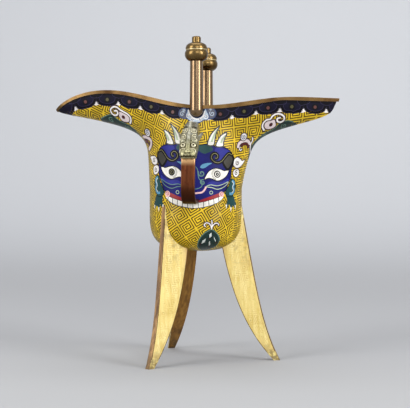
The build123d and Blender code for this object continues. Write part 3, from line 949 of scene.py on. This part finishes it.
def leg_finish():
    """Pale gilding on the broad faces and brown bronze on the spine and the inner back."""
    finish = Finish("leg_gilding")
    facing = finish.node("NewGeometry", {}, {}, "True Normal")
    level = finish.node("VectorMath", {"operation": "MULTIPLY"}, {0: finish.place, 1: (1, 1, 0)})
    radial = finish.node("VectorMath", {"operation": "NORMALIZE"}, {0: level})
    outward = finish.node("VectorMath", {"operation": "DOT_PRODUCT"}, {0: facing, 1: radial}, 1)
    spine = outward.between(0.6, 0.75)
    inner = 1 - outward.between(-0.75, -0.5)
    height = finish.along(2)
    grain = finish.noise(620, 5, (1, 1, 0.07))
    fine = finish.noise(1600, 3, (1, 1, 0.3))
    patches = finish.noise(95, 6, (1, 1, 0.55)).between(0.56, 0.74)
    soot = finish.noise(330, 5).between(0.5, 0.66) * height.between(0.038, 0.068)
    foot = finish.noise(420, 4).between(0.36, 0.6) * (1 - height.between(0.002, 0.012))
    specks = finish.noise(1300, 2).between(0.69, 0.76)
    gilt = grain.between(0.25, 0.75).mix(colour(196, 171, 85), colour(222, 207, 142))
    gilt = (fine.between(0.5, 0.8) * 0.6).mix(gilt, colour(228, 214, 152))
    gilt = (patches * 0.35).mix(gilt, colour(176, 142, 74))
    gilt = (soot * 0.62).mix(gilt, colour(108, 102, 70))
    brown = grain.between(0.3, 0.75).mix(colour(122, 84, 32), colour(176, 128, 54))
    brown = patches.mix(brown, colour(86, 58, 24))
    tone = inner.mix(gilt, brown)
    tone = spine.mix(tone, grain.between(0.3, 0.7).mix(colour(92, 66, 44), colour(176, 136, 86)))
    tone = specks.mix(tone, colour(96, 74, 44))
    tone = (foot * 0.8).mix(tone, colour(92, 72, 42))
    rough = 0.44 + 0.12 * grain + 0.1 * patches
    normal = finish.bump(grain * 0.4 + fine * 0.3 - specks, 0.00003)
    finish.surface({"Base Color": tone, "Metallic": 0.35, "Roughness": rough, "Normal": normal})
    return finish


def leg_face(seat, foot, drawn, side):
    """Points of a broad face by distance from its middle line and height, and half its breadth there."""
    share = 1 - drawn[:, 1] / leg_top
    turn = np.radians(seat + (foot - seat) * share)
    outer = bowl_radius + (foot_reach - bowl_radius - leg_kick) * share + leg_kick * share**5
    spine = np.stack([outer, side * leg_spine / 2 + 0 * share], 1)
    back_half = (foot_width + (leg_width - foot_width) * (1 - share**2)) / 2
    depth = foot_depth + (leg_depth - foot_depth) * (1 - share**3)
    back = np.stack([outer - depth, side * back_half], 1)
    breadth = np.linalg.norm(back - spine, axis=1)
    flat = (spine + back) / 2 + (back - spine) / breadth[:, None] * drawn[:, :1]
    x = leg_shift * share + flat[:, 0] * np.cos(turn) - flat[:, 1] * np.sin(turn)
    y = flat[:, 0] * np.sin(turn) + flat[:, 1] * np.cos(turn)
    return np.stack([x, y, drawn[:, 1]], 1) / metre, breadth / 2


def engrave(leg, seat, foot):
    """Cuts border lines and a fret into both broad faces of one leg, as thin dark lines on the gilding."""

    def nearest(drawn, side):
        points, half = leg_face(seat, foot, np.asarray(drawn, float), side)
        hits = [metal[leg].closest_point_on_mesh(Vector(point)) for point in points]
        spots = np.array([hit[1] for hit in hits])
        return points, half, spots, np.array([hit[2] for hit in hits])

    def lay(drawn, lifts, side):
        _, _, spots, facing = nearest(drawn, side)
        return spots + facing * (cut_lift + np.asarray(lifts)[:, None]) / metre

    for side in (-1, 1):
        face = "left" if side < 0 else "right"
        lines = Inlay(f"{leg}_fret_{face}", leg_lines, "gilt_leg", (side,), lay, 2.5)
        edges = Inlay(f"{leg}_edges_{face}", leg_edge, "gilt_leg", (side,), lay, 1.5)

        def clear(line, margin):
            points, half, spots, _ = nearest(line, side)
            on_face = np.linalg.norm(points - spots, axis=1) < face_reach
            on_face &= np.abs(line[:, 0]) < half - margin
            return on_face & (line[:, 1] > engraved_low) & (line[:, 1] < leg_top - engraved_gap)

        fret_field(lines, (0.0, 40.0), 0.0, lambda line: clear(line, 1.9), **leg_fret)
        heights = np.arange(edge_low, leg_top - edge_gap, edge_step)
        _, half = leg_face(seat, foot, np.stack([0 * heights, heights], 1), side)
        borders = ((lines, 0.9, 0.5, 0.22), (lines, 1.5, 0.5, 0.22), (edges, 0.2, 0.1, 0.34))
        for edge in (-1, 1):
            for inlay, inset, margin, width in borders:
                border = np.stack([edge * (half - inset), heights], 1)
                kept = border[clear(border, margin)]
                if len(kept) > 2:
                    inlay.wire(kept, width, fret_lift)
        lines.make()
        edges.make()


leg_gilding = leg_finish()
leg_lines = worn_metal("engraved_lines", (224, 198, 128), (190, 158, 92), 0.5, 0.45)
leg_edge = worn_metal("edge_bronze", (104, 74, 42), (66, 44, 24), 0.5, 0.4)
for leg, (seat, foot) in leg_seats.items():
    dress(leg, leg_gilding)
    engrave(leg, seat, foot)

# Handle strap: a flat strip of coppery bronze bent from the head's mouth down to the bowl and brazed there.
# Its top is painted pale as a painted highlight, and it is painted dark where it turns in to the bowl, as
# painted shade.


def strap_finish():
    """Red-brown bronze with a painted highlight towards the head and painted shade at the root, with fine
    scratches along it.
    """
    finish = Finish("copper_painted_light")
    height = finish.along(2)
    grain = finish.noise(700, 4, (1, 1, 0.12))
    blots = finish.noise(420, 5)
    tone = grain.between(0.3, 0.7).mix(colour(78, 43, 26), colour(114, 65, 40))
    # Painted highlight: the top of the strap is made pale, as if lit.
    tone = height.between(0.0995, 0.1045).mix(tone, colour(232, 186, 132))
    # Painted shade: the strap darkens downwards where it curves in under, towards the bowl.
    tone = (1 - height.between(0.082, 0.1)).mix(tone, colour(64, 34, 20))
    tone = (blots.between(0.52, 0.7) * 0.6).mix(tone, colour(70, 30, 22))
    normal = finish.bump(grain, 0.00004)
    finish.surface({"Base Color": tone, "Metallic": 1.0, "Roughness": 0.32 + 0.2 * blots, "Normal": normal})
    return finish


dress("handle_strap", strap_finish())

# Handle head: an animal's head cast in relief, its gilding rubbed pale, brazed under the lip.
# Curls of mane, brows, eyes, whiskers and teeth are chased over the cast form.

head_middle = Vector((0.0012, -0.0345, 0.1118))
head_view = Vector((0.0, 0.8, -0.6))
head_up = Vector((0.0, 0.6, 0.8))
head_distance = 0.03


def head_finish():
    """Gilding rubbed pale yellow on the muzzle and grey on the crown, with a brown-green patina in blots."""
    finish = Finish("rubbed_head")
    height = finish.along(2)
    blots = finish.noise(560, 5).between(0.36, 0.58)
    fine = finish.noise(1500, 3)
    muzzle = fine.mix(colour(133, 128, 89), colour(192, 187, 148))
    crown = fine.mix(colour(133, 131, 115), colour(188, 186, 170))
    tone = height.between(0.109, 0.115).mix(muzzle, crown)
    tone = ((1 - blots) * 0.62).mix(tone, colour(88, 82, 54))
    normal = finish.bump(fine * 0.5 + blots * 0.6, 0.00008)
    finish.surface({"Base Color": tone, "Metallic": 0.75, "Roughness": 0.42 - 0.14 * blots, "Normal": normal})
    return finish


dress("handle_head", head_finish())


def lay_on_head(drawn, lifts, side):
    """Points drawn on the head as it is seen from before and above, set down on its surface."""
    laid = []
    for (x, w), lift in zip(drawn, lifts):
        start = head_middle + Vector((x, 0, 0)) / metre + head_up * (w / metre) - head_view * head_distance
        hit, spot, facing, _ = metal["handle_head"].ray_cast(start, head_view)
        if not hit:
            _, spot, facing, _ = metal["handle_head"].closest_point_on_mesh(start + head_view * head_distance)
        laid.append(spot + facing * (lift / metre))
    return np.array([tuple(spot) for spot in laid])


bright_gilt = worn_metal("bright_relief", (216, 210, 184), (180, 172, 138), 0.5, 0.32)
dark_patina = worn_metal("head_patina", (72, 64, 40), (42, 36, 24), 0.5, 0.5)
chased = Inlay("head_relief", bright_gilt, "gilt_head", (-1,), lay_on_head, 0.35)
grooves = Inlay("head_grooves", dark_patina, "gilt_head", (-1,), lay_on_head, 0.35)


def chase(line, groove, ridge, crown):
    """A raised ridge in a dark groove."""
    grooves.wire(line, groove, 0.05)
    chased.wire(line, ridge, 0.08, crown=crown)


for half in (-1, 1):
    turned = np.array([half, 1])
    for middle, radius, turns, start in (((2.4, 4.6), 1.7, 1.5, 2.4), ((2.7, 0.9), 1.5, 1.4, 1.2)):
        chase(spiral(middle, radius, turns, start) * turned, 0.75, 0.42, 0.22)
    brow_line = flow([(0.9, -1.0), (1.8, -0.2), (3.2, -0.1), (4.2, -0.9)], closed=False)
    chase(brow_line * turned, 0.7, 0.4, 0.2)
    for reach in (0.0, 0.9, 1.8):
        mane = flow([(1.0, 6.4 + reach * 0.6), (2.2, 7.0 + reach * 0.5),
                     (3.4, 6.6 + reach * 0.6)], closed=False)
        grooves.wire(mane * turned, 0.3, 0.06)
    whisker = flow([(1.4, -6.6), (2.6, -6.0), (3.6, -6.6), (4.0, -7.8)], closed=False)
    chase(whisker * turned, 0.65, 0.36, 0.18)
    under_eye = flow([(1.2, -5.0), (2.6, -5.8), (4.1, -5.0)], closed=False)
    grooves.wire(under_eye * turned, 0.34, 0.06)
    eye = np.array((2.6 * half, -3.7))
    grooves.wire(ring(eye, 1.4), 0.4, 0.05, closed=True)
    chased.wire(ring(eye, 0.9), 0.6, 0.08, closed=True, crown=0.16)
    grooves.cell(ring(eye, 0.5, 12), 0.1)
teeth = [(x, -9.9 + (0.2 if k % 2 else -0.2)) for k, x in enumerate(np.linspace(-3.9, 3.9, 11))]
grooves.wire(flow(teeth, closed=False), 0.5, 0.06)
chased.make()
grooves.make()

# Posts and finials: turned and polished bronze. Each post straddles the lip in a slot.
# On its spigot it carries a bulb, a collar that has kept its gilding, a dome and a tip.

post_bronze = worn_metal("turned_bronze", (134, 110, 83), (88, 66, 46), 0.34, 0.13, (1, 1, 0.03), 0.00001)
finial_bronze = worn_metal("finial_bronze", (118, 95, 58), (77, 58, 33), 0.36, 0.2)
collar_gilt = worn_metal("collar_gilt", (214, 194, 146), (150, 124, 80), 0.36, 0.24)
for place in ("near", "far"):
    for part in ("finial_bulb", "finial_dome", "finial_tip"):
        dress(f"{part}_{place}", finial_bronze)
    dress(f"finial_collar_{place}", collar_gilt)
    dress(f"post_{place}", post_bronze)

# Stage: a pale grey sweep, soft studio light from both sides, above and before, and a pale distance.
# The camera stands a little to the right of the handle.

sweep_half = 1.2
sweep_profile = [(-0.9, 0.0), (-0.6, 0.0), (0.2, 0.0), (0.5, 0.0), (0.8, 0.0), (1.1, 0.03),
                 (1.35, 0.14), (1.5, 0.34), (1.55, 0.6), (1.55, 2.6)]
sweep_points = [(x, y, z) for y, z in sweep_profile for x in (-sweep_half, sweep_half)]
sweep_faces = [(2 * k, 2 * k + 1, 2 * k + 3, 2 * k + 2) for k in range(len(sweep_profile) - 1)]
sweep_mesh = bpy.data.meshes.new("sweep")
sweep_mesh.from_pydata(sweep_points, [], sweep_faces)
sweep_mesh.shade_smooth()
sweep = put("sweep", sweep_mesh)
bend = sweep.modifiers.new("bend", "SUBSURF")
bend.levels = 3
bend.render_levels = 3
sweep_paper = Finish("grey_paper")
sweep_depth = sweep_paper.along(1)
# Painted light and shade: the paper's colour is a little darker on the floor just behind the vessel and much
# lighter further back and up the backdrop, in place of how the studio light falls.
sweep_tone = sweep_depth.between(-0.12, 0.06).mix(colour(184, 185, 187), colour(177, 178, 181))
sweep_tone = sweep_depth.between(0.3, 1.25).mix(sweep_tone, colour(222, 224, 228))
sweep_paper.surface({"Base Color": sweep_tone, "Roughness": 0.9, "Specular IOR Level": 0.1})
sweep_mesh.materials.append(sweep_paper.material)


def soft_light(name, place, aim, width, height, power):
    """A large soft panel that points at the vessel."""
    lamp = bpy.data.lights.new(name, "AREA")
    lamp.shape = "RECTANGLE"
    lamp.size = width
    lamp.size_y = height
    lamp.energy = power
    made = put(name, lamp)
    made.location = place
    made.rotation_euler = (Vector(aim) - Vector(place)).to_track_quat("-Z", "Y").to_euler()


soft_light("panel_left", (-1.15, -0.95, 0.62), (0, 0, 0.12), 0.7, 1.2, 15)
soft_light("panel_right", (1.3, -0.75, 0.6), (0, 0, 0.12), 0.6, 1.15, 17)
soft_light("panel_top", (0.0, 0.1, 1.5), (0, 0, 0.05), 1.4, 1.2, 12)
soft_light("panel_front", (0.5, -1.7, 0.75), (0, 0, 0.08), 0.9, 0.7, 9)

room = bpy.data.worlds.new("room")
room.use_nodes = True
room_nodes, room_links = room.node_tree.nodes, room.node_tree.links
room_nodes["Background"].inputs["Color"].default_value = (0.9, 0.91, 0.93, 1.0)
room_nodes["Background"].inputs["Strength"].default_value = 0.26
distance = room_nodes.new("ShaderNodeBackground")
distance.inputs["Color"].default_value = colour(208, 211, 215)
seen = room_nodes.new("ShaderNodeLightPath")
chosen = room_nodes.new("ShaderNodeMixShader")
sight = seen.outputs["Is Camera Ray"]
for ray in ("Is Glossy Ray", "Is Transmission Ray"):
    either = room_nodes.new("ShaderNodeMath")
    either.operation = "MAXIMUM"
    room_links.new(sight, either.inputs[0])
    room_links.new(seen.outputs[ray], either.inputs[1])
    sight = either.outputs[0]
room_links.new(sight, chosen.inputs[0])
room_links.new(room_nodes["Background"].outputs[0], chosen.inputs[1])
room_links.new(distance.outputs[0], chosen.inputs[2])
room_links.new(chosen.outputs[0], room_nodes["World Output"].inputs["Surface"])
bpy.context.scene.world = room
bpy.context.scene.view_settings.view_transform = "Standard"

camera_lens = bpy.data.cameras.new("camera")
camera_lens.sensor_width = 36
camera_lens.lens = 94.32
camera_lens.clip_end = 20
camera = put("camera", camera_lens)
camera.location = (0.0710946, -0.5564455, 0.0900813)
camera.rotation_euler = (radians(89.052), 0, radians(6.788))
bpy.context.scene.camera = camera
